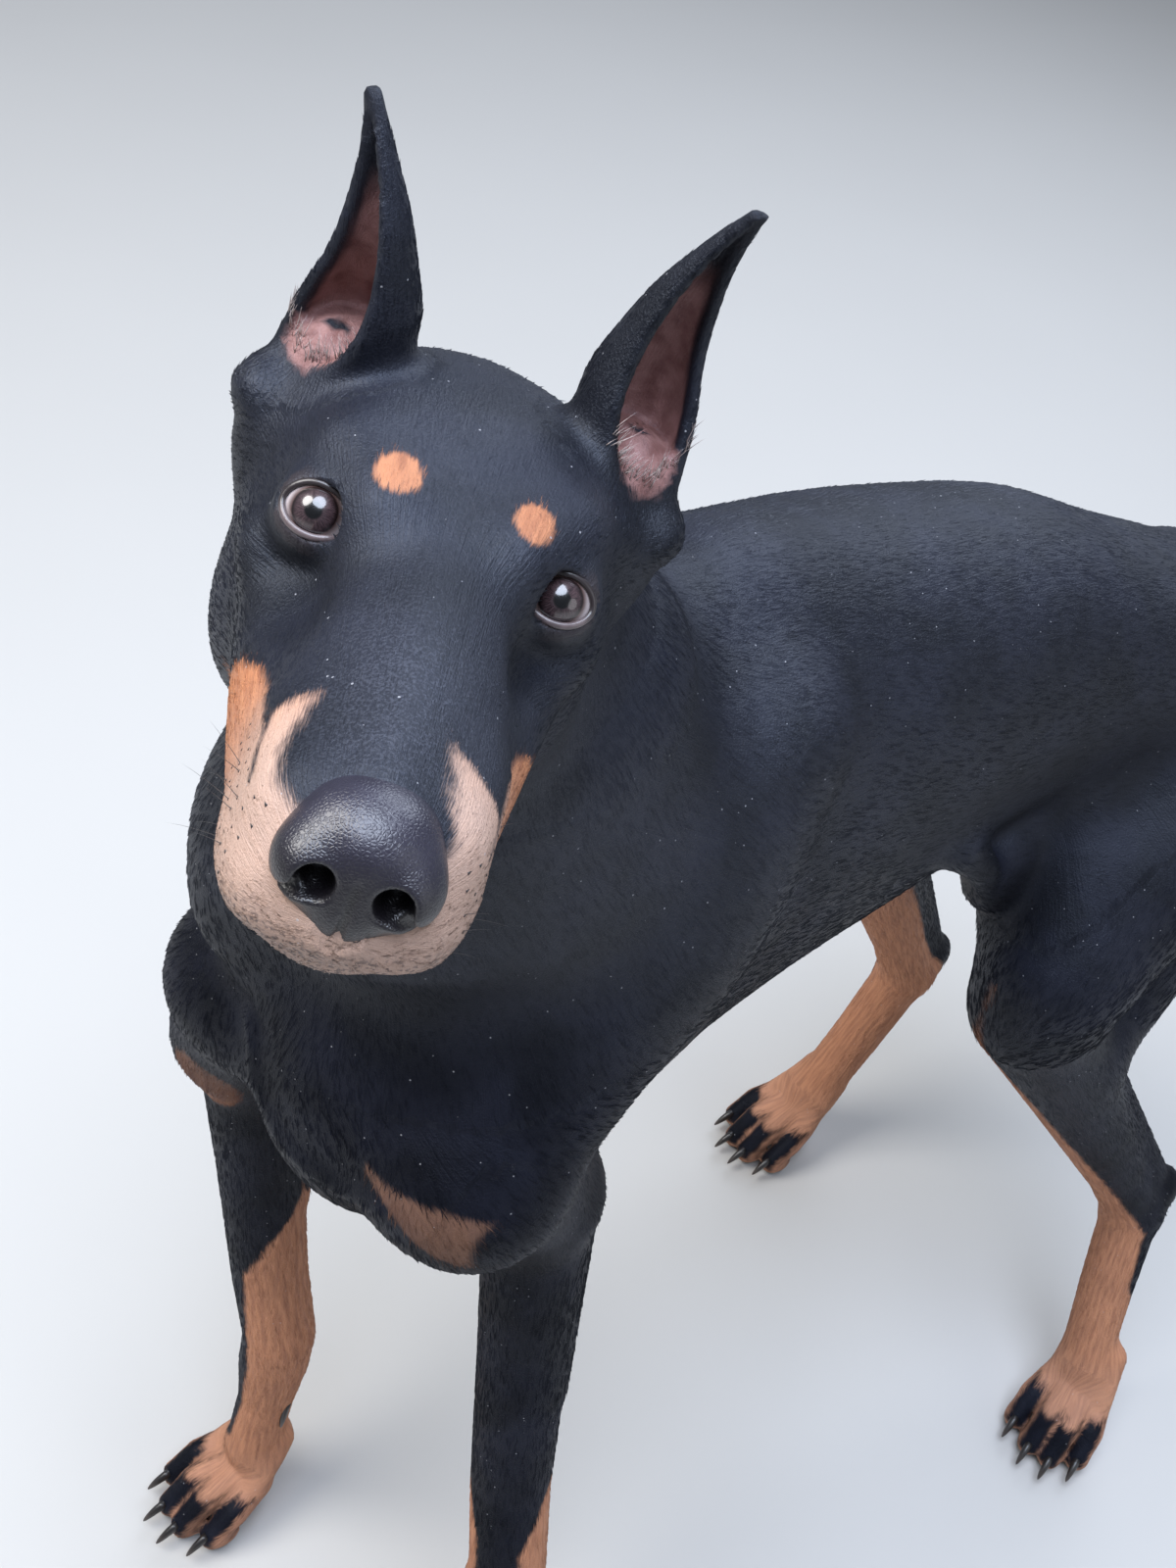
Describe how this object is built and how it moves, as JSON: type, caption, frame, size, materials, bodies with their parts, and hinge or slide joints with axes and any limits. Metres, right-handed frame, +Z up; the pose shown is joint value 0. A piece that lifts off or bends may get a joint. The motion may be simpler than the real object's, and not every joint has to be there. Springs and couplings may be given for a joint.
{
  "type": "standing dog model",
  "caption": "Life-size still model of a short-coated black and rust dog, standing with its head turned and raised, for display.",
  "frame": {"origin": "middle of the bounding box at the level of the soles", "axes": "+Z up, +X the way the dog's trunk faces, +Y the dog's left"},
  "size_m": [0.8706, 0.4444, 0.9439],
  "materials": {
    "black_coat": "short glossy hair",
    "rust_coat": "short hair",
    "nose_leather": "moist leather",
    "eye": "glossy",
    "claw": "horn"
  },
  "bodies": {
    "root": {"claw_fore_left_1": "claw", "claw_fore_left_2": "claw", "claw_fore_left_3": "claw", "claw_fore_left_4": "claw", "claw_fore_right_1": "claw", "claw_fore_right_2": "claw", "claw_fore_right_3": "claw", "claw_fore_right_4": "claw", "claw_hind_left_1": "claw", "claw_hind_left_2": "claw", "claw_hind_left_3": "claw", "claw_hind_left_4": "claw", "claw_hind_right_1": "claw", "claw_hind_right_2": "claw", "claw_hind_right_3": "claw", "claw_hind_right_4": "claw", "dewclaw_left": "claw", "dewclaw_right": "claw", "ear_left": "black_coat", "ear_right": "black_coat", "eye_left": "eye", "eye_right": "eye", "fore_forearm_left": "black_coat", "fore_forearm_right": "black_coat", "fore_pastern_left": "rust_coat", "fore_pastern_right": "rust_coat", "fore_paw_left": "rust_coat", "fore_paw_right": "rust_coat", "head": "black_coat", "hind_lower_leg_left": "black_coat", "hind_lower_leg_right": "black_coat", "hind_pastern_left": "rust_coat", "hind_pastern_right": "rust_coat", "hind_paw_left": "rust_coat", "hind_paw_right": "rust_coat", "lower_jaw": "black_coat", "neck": "black_coat", "nose": "nose_leather", "shoulder_left": "black_coat", "shoulder_right": "black_coat", "tail": "black_coat", "thigh_left": "black_coat", "thigh_right": "black_coat", "torso": "black_coat"}
  },
  "joints": []
}
